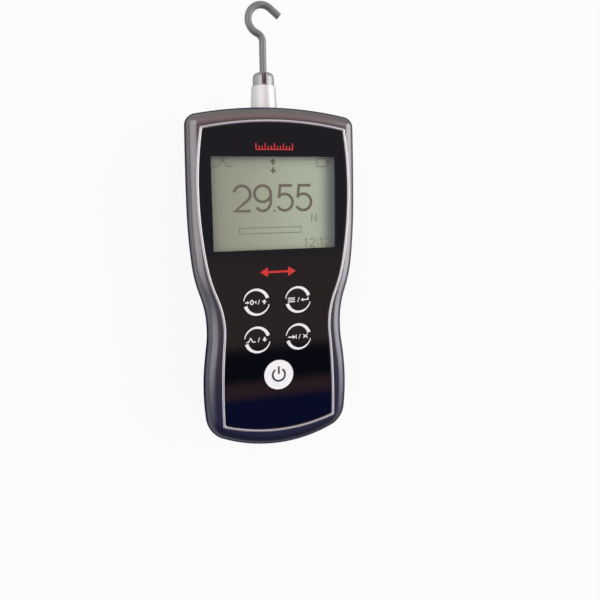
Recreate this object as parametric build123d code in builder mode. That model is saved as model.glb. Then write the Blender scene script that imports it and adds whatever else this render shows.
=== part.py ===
from build123d import *
import os
from math import atan2, degrees, radians, sqrt, tan

# Hand-held digital force gauge with a bent-wire hook, in millimetres.
# It lies on its back: +X to its right, +Y along the load axis towards the hook, +Z out of its face.
# The origin is on the flat back, at the centre of the four threaded holes for a test stand.

# ---- Housing -----------------------------------------------------------------------------------
HOUSING_DEPTH = 32.6      # back face to the crest of the front frame
WIDE_DROP = 6.1           # crest down to the widest line; below it the walls draw in
PARTING_DROP = 15.6       # crest down to the load axis, where the two shells meet
REAR_DRAFT = 12.0         # degrees
HOUSING_TOP_Y = 72.9
HOUSING_FOOT_Y = -73.0
TOP_BOW = 3.9             # rise of the bowed ends over their corners
FOOT_BOW = 8.0
# right-hand side of the plan outline, from its widest point down over the waist to the foot
HOUSING_SIDE = [(36.7, 33), (35.5, 9), (32.4, -5), (30.2, -16), (30.9, -29),
                (31.0, HOUSING_FOOT_Y + FOOT_BOW)]
HOUSING_SHOULDER = (36.2, HOUSING_TOP_Y - TOP_BOW)
HOUSING_TOP_CORNER = 4.8
HOUSING_FOOT_CORNER = 11.0
REAR_TOP_CORNER = 8.0
REAR_FOOT_CORNER = 10.0
FRONT_ROUND = 4.6
REAR_ROUND = 4.0
WALL_INSET = 4.0          # outline to cavity, at the widest height
FLOOR = 2.4               # back wall
FRONT_WALL = 1.6          # wall under the front panel
PARTING_BEVEL = 0.3

# ---- Front panel, its trim and the window ---------------------------------------------------------
PANEL_DROP = 0.6          # crest down to the front surface of the panel
PANEL_THICK = 1.0
FRAME_TOP = 6.4           # width of the frame round the panel, on the centre line
FRAME_FOOT = 8.1
PANEL_TOP_BOW = 3.1
PANEL_FOOT_BOW = 4.0
PANEL_TOP_Y = HOUSING_TOP_Y - FRAME_TOP
PANEL_FOOT_Y = HOUSING_FOOT_Y + FRAME_FOOT
PANEL_SIDE = [(32.2, 38), (29.6, 8), (25.85, -5), (23.1, -24), (24.4, PANEL_FOOT_Y + PANEL_FOOT_BOW)]
PANEL_SHOULDER = (30.1, PANEL_TOP_Y - PANEL_TOP_BOW)
PANEL_CORNER = 0.8
TRIM_WIDTH = 1.15
TRIM_RISE = 1.0           # above the panel
TRIM_ROUND = 0.5
FLAT_GAP = 0.05           # between pieces laid in one recess
WINDOW_X = 54.0
WINDOW_Y = 38.6
WINDOW_CENTRE_Y = 33.4
WINDOW_THICK = 0.9

# ---- Keys and their switches ------------------------------------------------------------------------
KEY_RADIUS = 6.3
POWER_RADIUS = 6.6
KEY_X = 9.3
UPPER_KEY_Y = -8.0
LOWER_KEY_Y = -24.4
POWER_KEY_Y = -40.7
KEY_GAP = 0.15
KEY_FLANGE = 0.8          # the hidden flange stands this far out all round
KEY_FLANGE_THICK = 1.3
KEY_STEM_RADIUS = 1.6
KEY_TRAVEL = 0.4
SWITCH_SIZE = 6.0
SWITCH_HEIGHT = 3.5
PLUNGER_RADIUS = 1.75
PLUNGER_RISE = 0.8
PLUNGER_LENGTH = 1.8
RUN_FIT = 0.06            # radial clearance of a piece that slides or turns in another

# ---- Circuit board and display --------------------------------------------------------------------
BOARD_DROP = 8.6          # crest down to the board's upper face
BOARD_THICK = 1.6
BOARD_INSET = 4.4
LCD_MODULE_X = 62.0
LCD_MODULE_Y = 46.0
LCD_SHEET = 0.4           # steel of the display frame
LCD_GAP = 0.1
LCD_BORDER = 0.6          # frame window past the clear window, each side
GLASS_THICK = 2.0
STRIP_WIDTH = 2.2         # elastomer contact strips
CHIP_HEIGHT = 1.4
PROCESSOR_SIZE = 10.0
PROCESSOR_PLACE = (0, 2)
CONVERTER_SIZE = 6.0
CONVERTER_PLACE = (23, 16)
BUZZER_RADIUS = 4.8
BUZZER_HEIGHT = 5.0
BUZZER_HOLE_RADIUS = 1.2
BUZZER_HOLE_DEEP = 1.25
BUZZER_PLACE = (-23, 24)

# ---- Load line, all on the axis x = 0, z = AXIS_Z ---------------------------------------------------
CELL_X = 30.0
CELL_Y = 36.0
CELL_Z = 10.0
CELL_FOOT_Y = 20.0
CELL_BAR = 9.0            # thickness of the end bars
CELL_SLOT = 1.2
CELL_WEB_HOLE = 4.0       # radius of the two holes beside the sensing web
CELL_WEB_SPREAD = 9.0     # between their centres
GAUGE_X = 5.0
GAUGE_Y = 3.6
GAUGE_THICK = 0.15
THREAD_RADIUS = 3.0       # M6
SHAFT_SINK = 0.6          # shaft end inside the sleeve's tip
NUT_FLATS = 10.0
NUT_THICK = 3.0
SLEEVE_BASE_RADIUS = 5.75
SLEEVE_TIP_RADIUS = 5.15
SLEEVE_REACH = 9.9        # past the top of the housing
SLEEVE_BORE_RADIUS = 4.75
SLEEVE_FLANGE_RADIUS = 7.6
SLEEVE_FLANGE_THICK = 2.2
SLEEVE_FLANGE_GAP = 0.35  # the flange is flat, the wall behind it bowed
SLEEVE_SEAT = 0.1         # shell hole past the sleeve
NOTCH_GAP = 0.6           # board past the sleeve's flange
SEAL_LENGTH = 2.0
COLLET_RADIUS = 4.55
COLLET_LENGTH = 12.0
COLLET_REACH = 5.8        # past the sleeve's tip
COLLET_DOME = 2.4
COLLET_SLOT = 1.7
COLLET_SLOT_DEEP = 5.2
COLLET_TURN = 12.0         # degrees, from facing the front towards the left side

# ---- Hook ----------------------------------------------------------------------------------------
WIRE_RADIUS = 1.5
HEAD_RADIUS = 2.5
HEAD_LENGTH = 1.4
HEAD_GAP = 0.1
EYE_X = -0.1
EYE_REACH = 21.6          # centre of the eye past the collet
EYE_RADIUS = 6.0          # of the wire's centre line
BEND_RADIUS = 3.6         # of the bend that carries the wire out to the eye
TIP_SLOPE = 38.0          # degrees below level
TIP_LENGTH = 4.9

# ---- Chassis, anchor and stand mount -----------------------------------------------------------------
PLATE_DROP = 24.6         # crest down to the underside of the chassis plate
PLATE_THICK = 1.5
PLATE_X = 40.0
PLATE_SHORT = 0.5         # plate's foot above the cells'
PLATE_TOP_GAP = 7.9       # top of the housing to the plate
PLATE_CORNER = 3.0
ANCHOR_X = 26.0
ANCHOR_Y = 10.0
STAND_X = 30.0
STAND_Y = 60.0
STAND_HOLE_RADIUS = 1.65  # M4 tapping size
STAND_BUSH_RADIUS = 3.5
STAND_BUSH_FLANGE = 5.0
STAND_FLANGE_THICK = 1.5
STAND_SEAT = 0.1
BOSS_RADIUS = 3.5

# ---- Screws --------------------------------------------------------------------------------------
CASE_SCREW_RISE = 16.0    # lower screws above the foot of the housing
BOARD_SCREW_RISE = 23.5
CASE_SCREWS = [(24.5, 61), (18, HOUSING_FOOT_Y + CASE_SCREW_RISE)]      # right-hand half; mirrored
BOARD_SCREWS = [(27.5, 3), (24.5, HOUSING_FOOT_Y + BOARD_SCREW_RISE)]
PLATE_SCREW_X = 16.0
PLATE_SCREW_INSET = 5.0
PLATE_SCREW_GAP = 0.9     # screw heads past the battery tray
ANCHOR_SCREWS = [(9, 15)]
M3_RADIUS = 1.5
M3_HEAD_RADIUS = 2.8
M3_HEAD = 2.0
M3_SOCKET = 2.5
M3_SOCKET_DEEP = 1.2
SCREW_FREE = 0.2          # clearance hole past a screw
HEAD_FREE = 0.4           # counterbore past a head
CASE_HEAD_DEEP = 4.0      # the head's seat, above the back face
CASE_BITE = 7.0           # thread in the front boss
BOARD_BITE = 4.0
PLATE_SKIN = 3.0          # left under the chassis screws' holes
M4_RADIUS = 2.0
M4_HEAD_RADIUS = 3.7
M4_CONE = 1.3
M4_BITE = 7.0

# ---- Power and sockets ----------------------------------------------------------------------------
BATTERY_COUNT = 4
BATTERY_RADIUS = 5.25
BATTERY_LENGTH = 44.5
BATTERY_TERMINAL_RADIUS = 1.9
BATTERY_TERMINAL = 0.8
BATTERY_GAP = 0.1
BATTERY_CLEAR = 5.5       # cells past the backs of the sockets
PAD_X = 36.0
PAD_Y = 30.0
TRAY_FLOOR = 1.0
TRAY_WALL = 1.2
TRAY_RISE = 6.0
TRAY_GAP = 0.3
SOCKET_X = 9.0
SOCKET_BODY = 9.0
SOCKET_DEPTH = 10.0
SOCKET_SINK = 1.4         # faces inside the foot of the housing
SOCKET_REACH = 15.6       # face to back
POWER_NOSE_RADIUS = 4.0
POWER_BORE_RADIUS = 2.85
POWER_BORE_DEEP = 9.0
POWER_PIN_RADIUS = 1.0
DATA_NOSE_RADIUS = 3.2
DATA_BORE_RADIUS = 1.8
DATA_BORE_DEEP = 11.0
SOCKET_SEAT = 0.1

# ---- Leads ---------------------------------------------------------------------------------------
LEAD_RADIUS = 0.45
LEAD_PITCH = 1.2
LEAD_BEND = 1.5
PLUG_SIZE = 5.0
PLUG_Z = 4.5
SENSOR_WAYS = 4
BATTERY_WAYS = 2
SENSOR_PLUG_PLACE = (24.0, 38.0)
BATTERY_PLUG_X = -21.4
BATTERY_PLUG_RISE = 5.2   # above the end of the tray

# ---- Worked-out places -------------------------------------------------------------------------------
WIDE_Z = HOUSING_DEPTH - WIDE_DROP
PARTING_Z = HOUSING_DEPTH - PARTING_DROP
AXIS_Z = PARTING_Z
PANEL_Z = HOUSING_DEPTH - PANEL_DROP
PANEL_SEAT_Z = PANEL_Z - PANEL_THICK
CEILING_Z = PANEL_SEAT_Z - FRONT_WALL
BOARD_TOP_Z = HOUSING_DEPTH - BOARD_DROP
BOARD_FOOT_Z = BOARD_TOP_Z - BOARD_THICK
REAR_INSET = WIDE_Z * tan(radians(REAR_DRAFT))
WINDOW_PLACE = (0, WINDOW_CENTRE_Y)
LCD_FRAME_TOP_Z = CEILING_Z - LCD_GAP
GLASS_TOP_Z = LCD_FRAME_TOP_Z - LCD_SHEET
GLASS_FOOT_Z = GLASS_TOP_Z - GLASS_THICK
GLASS_X = LCD_MODULE_X - 2 * (LCD_SHEET + LCD_GAP)
GLASS_Y = LCD_MODULE_Y - 2 * (LCD_SHEET + LCD_GAP)
SWITCH_TOP_Z = BOARD_TOP_Z + SWITCH_HEIGHT
PLUNGER_TOP_Z = SWITCH_TOP_Z + PLUNGER_RISE
KEY_FLANGE_TOP_Z = PANEL_SEAT_Z - FLAT_GAP
CELL_TOP_Y = CELL_FOOT_Y + CELL_Y
CELL_MID_Y = CELL_FOOT_Y + CELL_Y / 2
PLATE_Z = HOUSING_DEPTH - PLATE_DROP
PLATE_TOP_Z = PLATE_Z + PLATE_THICK
PLATE_TOP_Y = HOUSING_TOP_Y - PLATE_TOP_GAP
PLATE_BITE = PLATE_Z - PLATE_SKIN
ANCHOR_FOOT_Y = CELL_FOOT_Y - ANCHOR_Y
ANCHOR_TOP_Z = AXIS_Z + CELL_Z / 2
SLEEVE_TIP_Y = HOUSING_TOP_Y + SLEEVE_REACH
SHAFT_END_Y = SLEEVE_TIP_Y - SHAFT_SINK
COLLET_TOP_Y = SLEEVE_TIP_Y + COLLET_REACH
COLLET_FOOT_Y = COLLET_TOP_Y - COLLET_LENGTH
HEAD_FOOT_Y = SHAFT_END_Y + 2 * HEAD_GAP
EYE_Y = COLLET_TOP_Y + EYE_REACH
SOCKET_FACE_Y = HOUSING_FOOT_Y + SOCKET_SINK
SOCKET_BACK_Y = SOCKET_FACE_Y + SOCKET_REACH
BATTERY_FOOT_Y = SOCKET_BACK_Y + BATTERY_CLEAR
PLATE_FOOT_Y = BATTERY_FOOT_Y + PLATE_SHORT
BATTERY_FOOT_Z = PLATE_TOP_Z + TRAY_FLOOR + FLAT_GAP
BATTERY_MID_Y = BATTERY_FOOT_Y + BATTERY_LENGTH / 2
BATTERY_PITCH = 2 * BATTERY_RADIUS + BATTERY_GAP
BATTERY_TOP_Z = BATTERY_FOOT_Z + 2 * BATTERY_RADIUS
TRAY_X = BATTERY_COUNT * BATTERY_PITCH + 2 * (TRAY_GAP + TRAY_WALL)
TRAY_Y = BATTERY_LENGTH + BATTERY_TERMINAL + 2 * (TRAY_GAP + TRAY_WALL)
TRAY_MID_Y = BATTERY_MID_Y + BATTERY_TERMINAL / 2
TRAY_END_Y = TRAY_MID_Y + TRAY_Y / 2
PLATE_SCREWS = [
    (PLATE_SCREW_X, PLATE_TOP_Y - PLATE_SCREW_INSET),
    (PLATE_SCREW_X, TRAY_END_Y + PLATE_SCREW_GAP + M3_HEAD_RADIUS),
]
BATTERY_PLUG_PLACE = (BATTERY_PLUG_X, TRAY_END_Y + BATTERY_PLUG_RISE)
SLEEVE_FLANGE_TOP_Y = HOUSING_TOP_Y - WALL_INSET - SLEEVE_FLANGE_GAP
SLEEVE_FLANGE_FOOT_Y = SLEEVE_FLANGE_TOP_Y - SLEEVE_FLANGE_THICK
SLEEVE_HOLE = SLEEVE_BASE_RADIUS + SLEEVE_SEAT
LOAD_AXIS = Axis((0, 0, AXIS_Z), (0, 1, 0))
KEYS = {
    "key_zero": (-KEY_X, UPPER_KEY_Y, KEY_RADIUS),
    "key_menu": (KEY_X, UPPER_KEY_Y, KEY_RADIUS),
    "key_peak": (-KEY_X, LOWER_KEY_Y, KEY_RADIUS),
    "key_send": (KEY_X, LOWER_KEY_Y, KEY_RADIUS),
    "key_power": (0, POWER_KEY_Y, POWER_RADIUS),
}
AXIS_PLANE = Plane(origin=(0, 0, AXIS_Z), x_dir=(1, 0, 0), z_dir=(0, 0, 1))


def both_sides(points):
    """The given right-hand places and their mirror images on the left."""
    return [(side * x, y) for x, y in points for side in (-1, 1)]


def at_height(points, z):
    return [(x, y, z) for x, y in points]


def along_axis(y, z=AXIS_Z):
    """Plane square to the load axis at y, facing the hook."""
    return Plane(origin=(0, y, z), x_dir=(1, 0, 0), z_dir=(0, 1, 0))


def waisted_plan(side, shoulder, top_y, foot_y):
    """Closed plan of arcs: each side arc is tangent to the one before, the ends are shallow bows."""
    with BuildSketch() as plan:
        with BuildLine():
            TangentArc(side[0], shoulder, tangent=(0, 1))
            arc = TangentArc(side[0], side[1], tangent=(0, -1))
            for point in side[2:]:
                arc = TangentArc(arc @ 1, point, tangent=arc % 1)
            mirror(about=Plane.YZ)
            foot = side[-1]
            ThreePointArc((-shoulder[0], shoulder[1]), (0, top_y), shoulder)
            ThreePointArc((-foot[0], foot[1]), (0, foot_y), foot)
        make_face()
    return plan.sketch


HOUSING_PLAN = waisted_plan(HOUSING_SIDE, HOUSING_SHOULDER, HOUSING_TOP_Y, HOUSING_FOOT_Y)
PANEL_PLAN = waisted_plan(PANEL_SIDE, PANEL_SHOULDER, PANEL_TOP_Y, PANEL_FOOT_Y)


def drawn_plan(plan, growth, top_corner, foot_corner):
    """The plan grown or drawn in all round, with its four corners rounded."""
    with BuildSketch() as drawn:
        add(plan)
        if growth:
            offset(amount=growth, kind=Kind.INTERSECTION, mode=Mode.REPLACE)
        fillet(drawn.vertices().group_by(Axis.Y)[-1], top_corner)
        fillet(drawn.vertices().group_by(Axis.Y)[0], foot_corner)
    return drawn.sketch


def finish(piece, name):
    """Label a finished piece and write it out."""
    piece.part.label = name
    export_step(piece.part, f"parts/{name}.step")


def socket_screw(radius, length, head_radius, head_height, socket, socket_deep):
    """Cap screw on +Z: the head stands on z = 0 and the shank goes down."""
    with BuildPart() as screw:
        Cylinder(radius, length, align=(Align.CENTER, Align.CENTER, Align.MAX))
        Cylinder(head_radius, head_height, align=(Align.CENTER, Align.CENTER, Align.MIN))
        with BuildSketch(Plane.XY.offset(head_height)):
            RegularPolygon(socket / 2, 6, major_radius=False)
        extrude(amount=-socket_deep, mode=Mode.SUBTRACT)
    return screw.part


def lead(points, radius, bends):
    """Insulated lead: straight runs joined by tangent arcs, laid through the points."""
    with BuildPart() as run:
        with BuildLine() as path:
            FilletPolyline(*points, radius=bends)
        with BuildSketch(Plane(origin=path.line @ 0, z_dir=path.line % 0)):
            Circle(radius)
        sweep(path=path.line)
    return run.part


os.makedirs("parts", exist_ok=True)

# ---- Housing shells ------------------------------------------------------------------------------
with BuildPart() as envelope:
    with BuildSketch(Plane.XY.offset(WIDE_Z)):
        add(drawn_plan(HOUSING_PLAN, 0, HOUSING_TOP_CORNER, HOUSING_FOOT_CORNER))
    extrude(amount=HOUSING_DEPTH - WIDE_Z)
    fillet(envelope.faces().sort_by(Axis.Z)[-1].edges(), FRONT_ROUND)
with BuildPart() as tapered:
    with BuildSketch(Plane.XY.offset(WIDE_Z)):
        add(drawn_plan(HOUSING_PLAN, 0, HOUSING_TOP_CORNER, HOUSING_FOOT_CORNER))
    with BuildSketch():
        add(drawn_plan(HOUSING_PLAN, -REAR_INSET, REAR_TOP_CORNER, REAR_FOOT_CORNER))
    loft(ruled=True)
    fillet(tapered.faces().sort_by(Axis.Z)[0].edges(), REAR_ROUND)

with BuildPart() as front_housing:
    add(envelope)
    add(tapered)
    split(bisect_by=Plane.XY.offset(PARTING_Z), keep=Keep.TOP)
    chamfer(front_housing.faces().sort_by(Axis.Z)[0].edges(), PARTING_BEVEL)
    with BuildSketch(Plane.XY.offset(PARTING_Z)):
        add(drawn_plan(HOUSING_PLAN, -WALL_INSET, HOUSING_TOP_CORNER, HOUSING_FOOT_CORNER))
    extrude(amount=CEILING_Z - PARTING_Z, mode=Mode.SUBTRACT)
    with BuildSketch(Plane.XY.offset(PANEL_SEAT_Z)):
        add(drawn_plan(PANEL_PLAN, TRIM_WIDTH + 2 * FLAT_GAP, PANEL_CORNER, PANEL_CORNER))
    extrude(amount=HOUSING_DEPTH - PANEL_SEAT_Z, mode=Mode.SUBTRACT)
    with BuildSketch(Plane.XY.offset(CEILING_Z)):
        with Locations(WINDOW_PLACE):
            Rectangle(WINDOW_X + 2 * LCD_BORDER, WINDOW_Y + 2 * LCD_BORDER)
        for x, y, radius in KEYS.values():
            with Locations((x, y)):
                Circle(radius + KEY_FLANGE + 2 * KEY_GAP)
    extrude(amount=FRONT_WALL, mode=Mode.SUBTRACT)
    with BuildSketch(Plane.XY.offset(PARTING_Z)):
        with Locations(*both_sides(CASE_SCREWS)):
            Circle(BOSS_RADIUS)
    extrude(amount=CEILING_Z - PARTING_Z)
    with BuildSketch(Plane.XY.offset(PARTING_Z)):
        with Locations(*both_sides(CASE_SCREWS)):
            Circle(M3_RADIUS)
    extrude(amount=CASE_BITE, mode=Mode.SUBTRACT)
    with BuildSketch(Plane.XY.offset(BOARD_TOP_Z)):
        with Locations(*both_sides(BOARD_SCREWS)):
            Circle(M3_HEAD_RADIUS)
    extrude(amount=CEILING_Z - BOARD_TOP_Z)
    with BuildSketch(Plane.XY.offset(BOARD_TOP_Z)):
        with Locations(*both_sides(BOARD_SCREWS)):
            Circle(M3_RADIUS)
    extrude(amount=BOARD_BITE, mode=Mode.SUBTRACT)
    with BuildSketch(along_axis(HOUSING_TOP_Y)):
        Circle(SLEEVE_HOLE)
    extrude(amount=2 * WALL_INSET, both=True, mode=Mode.SUBTRACT)
    for x, radius in ((-SOCKET_X, POWER_NOSE_RADIUS), (SOCKET_X, DATA_NOSE_RADIUS)):
        with BuildSketch(along_axis(SOCKET_BACK_Y)):
            with Locations((x, 0)):
                Circle(radius + SOCKET_SEAT)
        extrude(until=Until.LAST, dir=(0, -1, 0), mode=Mode.SUBTRACT)
finish(front_housing, "front_housing")

with BuildPart() as rear_housing:
    add(tapered)
    split(bisect_by=Plane.XY.offset(PARTING_Z), keep=Keep.BOTTOM)
    chamfer(rear_housing.faces().sort_by(Axis.Z)[-1].edges(), PARTING_BEVEL)
    with BuildSketch(Plane.XY.offset(PARTING_Z)):
        add(drawn_plan(HOUSING_PLAN, -WALL_INSET, HOUSING_TOP_CORNER, HOUSING_FOOT_CORNER))
    with BuildSketch(Plane.XY.offset(FLOOR)):
        add(drawn_plan(HOUSING_PLAN, -REAR_INSET - FLOOR, REAR_TOP_CORNER, REAR_FOOT_CORNER))
    loft(ruled=True, mode=Mode.SUBTRACT)
    with BuildSketch(Plane.XY.offset(FLOOR)):
        with Locations(*both_sides(CASE_SCREWS)):
            Circle(BOSS_RADIUS)
    extrude(amount=PARTING_Z - FLOOR)
    with BuildSketch(Plane.XY.offset(FLOOR)):
        with Locations(*both_sides(PLATE_SCREWS)):
            Circle(BOSS_RADIUS)
    extrude(amount=PLATE_Z - FLOOR)
    with Locations(*at_height(both_sides(CASE_SCREWS), CASE_HEAD_DEEP)):
        Cylinder(M3_RADIUS + SCREW_FREE, PARTING_Z, align=(Align.CENTER, Align.CENTER, Align.MIN),
                 mode=Mode.SUBTRACT)
        Cylinder(M3_HEAD_RADIUS + HEAD_FREE, CASE_HEAD_DEEP,
                 align=(Align.CENTER, Align.CENTER, Align.MAX), mode=Mode.SUBTRACT)
    with Locations(*at_height(both_sides(PLATE_SCREWS), PLATE_Z)):
        Cylinder(M3_RADIUS, PLATE_BITE, align=(Align.CENTER, Align.CENTER, Align.MAX),
                 mode=Mode.SUBTRACT)
    with GridLocations(STAND_X, STAND_Y, 2, 2):
        Cylinder(STAND_BUSH_RADIUS + STAND_SEAT, FLOOR,
                 align=(Align.CENTER, Align.CENTER, Align.MIN), mode=Mode.SUBTRACT)
    with BuildSketch(along_axis(SLEEVE_FLANGE_FOOT_Y - FLAT_GAP)):
        Circle(SLEEVE_FLANGE_RADIUS + SLEEVE_SEAT)
    extrude(amount=SLEEVE_FLANGE_THICK + 2 * FLAT_GAP, mode=Mode.SUBTRACT)
    with BuildSketch(along_axis(HOUSING_TOP_Y)):
        Circle(SLEEVE_HOLE)
    extrude(amount=2 * WALL_INSET, both=True, mode=Mode.SUBTRACT)
    for x, radius in ((-SOCKET_X, POWER_NOSE_RADIUS), (SOCKET_X, DATA_NOSE_RADIUS)):
        with BuildSketch(along_axis(SOCKET_BACK_Y)):
            with Locations((x, 0)):
                Circle(radius + SOCKET_SEAT)
        extrude(until=Until.LAST, dir=(0, -1, 0), mode=Mode.SUBTRACT)
finish(rear_housing, "rear_housing")

case_screw = socket_screw(M3_RADIUS, PARTING_Z + CASE_BITE - CASE_HEAD_DEEP, M3_HEAD_RADIUS,
                          M3_HEAD, M3_SOCKET, M3_SOCKET_DEEP)
with BuildPart() as case_screws:
    with Locations(*at_height(both_sides(CASE_SCREWS), CASE_HEAD_DEEP)):
        add(Rot(180, 0, 0) * case_screw)
finish(case_screws, "case_screws")

# ---- Front panel, trim and window -----------------------------------------------------------------
with BuildPart() as panel_trim:
    with BuildSketch(Plane.XY.offset(PANEL_SEAT_Z)):
        add(drawn_plan(PANEL_PLAN, TRIM_WIDTH + FLAT_GAP, PANEL_CORNER, PANEL_CORNER))
        add(drawn_plan(PANEL_PLAN, FLAT_GAP, PANEL_CORNER, PANEL_CORNER), mode=Mode.SUBTRACT)
    extrude(amount=PANEL_THICK + TRIM_RISE)
    fillet(panel_trim.faces().sort_by(Axis.Z)[-1].edges(), TRIM_ROUND)
finish(panel_trim, "panel_trim")

with BuildPart() as front_panel:
    with BuildSketch(Plane.XY.offset(PANEL_SEAT_Z)):
        add(drawn_plan(PANEL_PLAN, 0, PANEL_CORNER, PANEL_CORNER))
        with Locations(WINDOW_PLACE):
            Rectangle(WINDOW_X, WINDOW_Y, mode=Mode.SUBTRACT)
        for x, y, radius in KEYS.values():
            with Locations((x, y)):
                Circle(radius + KEY_GAP, mode=Mode.SUBTRACT)
    extrude(amount=PANEL_THICK)
finish(front_panel, "front_panel")

with BuildPart() as display_window:
    with BuildSketch(Plane.XY.offset(PANEL_SEAT_Z)):
        with Locations(WINDOW_PLACE):
            Rectangle(WINDOW_X - 2 * FLAT_GAP, WINDOW_Y - 2 * FLAT_GAP)
    extrude(amount=WINDOW_THICK)
finish(display_window, "display_window")

# ---- Keys, each with its switch plunger --------------------------------------------------------------
for name, (x, y, radius) in KEYS.items():
    with BuildPart() as key:
        with BuildSketch(Plane.XY.offset(PLUNGER_TOP_Z)):
            with Locations((x, y)):
                Circle(KEY_STEM_RADIUS)
        extrude(amount=KEY_FLANGE_TOP_Z - PLUNGER_TOP_Z)
        with BuildSketch(Plane.XY.offset(KEY_FLANGE_TOP_Z - KEY_FLANGE_THICK)):
            with Locations((x, y)):
                Circle(radius + KEY_FLANGE)
        extrude(amount=KEY_FLANGE_THICK)
        with BuildSketch(Plane.XY.offset(KEY_FLANGE_TOP_Z)):
            with Locations((x, y)):
                Circle(radius)
        extrude(amount=PANEL_Z - KEY_FLANGE_TOP_Z)
    finish(key, name)

    with BuildPart() as plunger:
        with Locations((x, y, PLUNGER_TOP_Z)):
            Cylinder(PLUNGER_RADIUS, PLUNGER_LENGTH, align=(Align.CENTER, Align.CENTER, Align.MAX))
    finish(plunger, name.replace("key", "plunger"))

with BuildPart() as switch_bodies:
    for x, y, radius in KEYS.values():
        with Locations((x, y, BOARD_TOP_Z)):
            Box(SWITCH_SIZE, SWITCH_SIZE, SWITCH_HEIGHT, align=(Align.CENTER, Align.CENTER, Align.MIN))
        with Locations((x, y, SWITCH_TOP_Z)):
            Cylinder(PLUNGER_RADIUS + RUN_FIT, PLUNGER_LENGTH, mode=Mode.SUBTRACT,
                     align=(Align.CENTER, Align.CENTER, Align.MAX))
finish(switch_bodies, "switch_bodies")

# ---- Circuit board ---------------------------------------------------------------------------------
with BuildPart() as main_board:
    with BuildSketch(Plane.XY.offset(BOARD_FOOT_Z)):
        add(drawn_plan(HOUSING_PLAN, -BOARD_INSET, HOUSING_TOP_CORNER, HOUSING_FOOT_CORNER))
        with Locations(*both_sides(CASE_SCREWS)):
            Circle(BOSS_RADIUS + HEAD_FREE, mode=Mode.SUBTRACT)
        with Locations(*both_sides(BOARD_SCREWS)):
            Circle(M3_RADIUS + SCREW_FREE, mode=Mode.SUBTRACT)
        with Locations((0, SLEEVE_FLANGE_FOOT_Y - NOTCH_GAP)):
            Rectangle(2 * (SLEEVE_FLANGE_RADIUS + NOTCH_GAP), 2 * WALL_INSET + SLEEVE_FLANGE_THICK,
                      align=(Align.CENTER, Align.MIN), mode=Mode.SUBTRACT)
    extrude(amount=BOARD_THICK)
finish(main_board, "main_board")

board_screw = socket_screw(M3_RADIUS, BOARD_THICK + BOARD_BITE, M3_HEAD_RADIUS, M3_HEAD,
                           M3_SOCKET, M3_SOCKET_DEEP)
with BuildPart() as board_screws:
    with Locations(*at_height(both_sides(BOARD_SCREWS), BOARD_FOOT_Z)):
        add(Rot(180, 0, 0) * board_screw)
finish(board_screws, "board_screws")


def under_board(place, size_x, size_y, height):
    """Box soldered to the underside of the board."""
    with BuildPart() as block:
        with Locations((place[0], place[1], BOARD_FOOT_Z)):
            Box(size_x, size_y, height, align=(Align.CENTER, Align.CENTER, Align.MAX))
    return block


finish(under_board(PROCESSOR_PLACE, PROCESSOR_SIZE, PROCESSOR_SIZE, CHIP_HEIGHT), "processor_chip")
finish(under_board(CONVERTER_PLACE, CONVERTER_SIZE, CONVERTER_SIZE, CHIP_HEIGHT), "converter_chip")

with BuildPart() as buzzer:
    with Locations((*BUZZER_PLACE, BOARD_FOOT_Z)):
        Cylinder(BUZZER_RADIUS, BUZZER_HEIGHT, align=(Align.CENTER, Align.CENTER, Align.MAX))
    with Locations((*BUZZER_PLACE, BOARD_FOOT_Z - BUZZER_HEIGHT)):
        Cylinder(BUZZER_HOLE_RADIUS, BUZZER_HOLE_DEEP, mode=Mode.SUBTRACT,
                 align=(Align.CENTER, Align.CENTER, Align.MIN))
finish(buzzer, "buzzer")

# ---- Display ---------------------------------------------------------------------------------------
with BuildPart() as lcd_frame:
    with BuildSketch(Plane.XY.offset(BOARD_TOP_Z)):
        with Locations(WINDOW_PLACE):
            Rectangle(LCD_MODULE_X, LCD_MODULE_Y)
    extrude(amount=LCD_FRAME_TOP_Z - BOARD_TOP_Z)
    with BuildSketch(Plane.XY.offset(BOARD_TOP_Z)):
        with Locations(WINDOW_PLACE):
            Rectangle(LCD_MODULE_X - 2 * LCD_SHEET, LCD_MODULE_Y - 2 * LCD_SHEET)
    extrude(amount=GLASS_TOP_Z - BOARD_TOP_Z, mode=Mode.SUBTRACT)
    with BuildSketch(Plane.XY.offset(GLASS_TOP_Z)):
        with Locations(WINDOW_PLACE):
            Rectangle(WINDOW_X + 2 * LCD_BORDER, WINDOW_Y + 2 * LCD_BORDER)
    extrude(amount=LCD_SHEET, mode=Mode.SUBTRACT)
finish(lcd_frame, "lcd_frame")

with BuildPart() as lcd_glass:
    with BuildSketch(Plane.XY.offset(GLASS_FOOT_Z)):
        with Locations(WINDOW_PLACE):
            Rectangle(GLASS_X, GLASS_Y)
    extrude(amount=GLASS_THICK)
finish(lcd_glass, "lcd_glass")

with BuildPart() as lcd_backlight:
    with BuildSketch(Plane.XY.offset(BOARD_TOP_Z)):
        with Locations(WINDOW_PLACE):
            Rectangle(GLASS_X, GLASS_Y - 2 * (STRIP_WIDTH + LCD_GAP))
    extrude(amount=GLASS_FOOT_Z - BOARD_TOP_Z)
finish(lcd_backlight, "lcd_backlight")

with BuildPart() as lcd_contact_strips:
    with BuildSketch(Plane.XY.offset(BOARD_TOP_Z)):
        with Locations(WINDOW_PLACE):
            with GridLocations(0, GLASS_Y - STRIP_WIDTH, 1, 2):
                Rectangle(GLASS_X, STRIP_WIDTH)
    extrude(amount=GLASS_FOOT_Z - BOARD_TOP_Z)
finish(lcd_contact_strips, "lcd_contact_strips")

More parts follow.
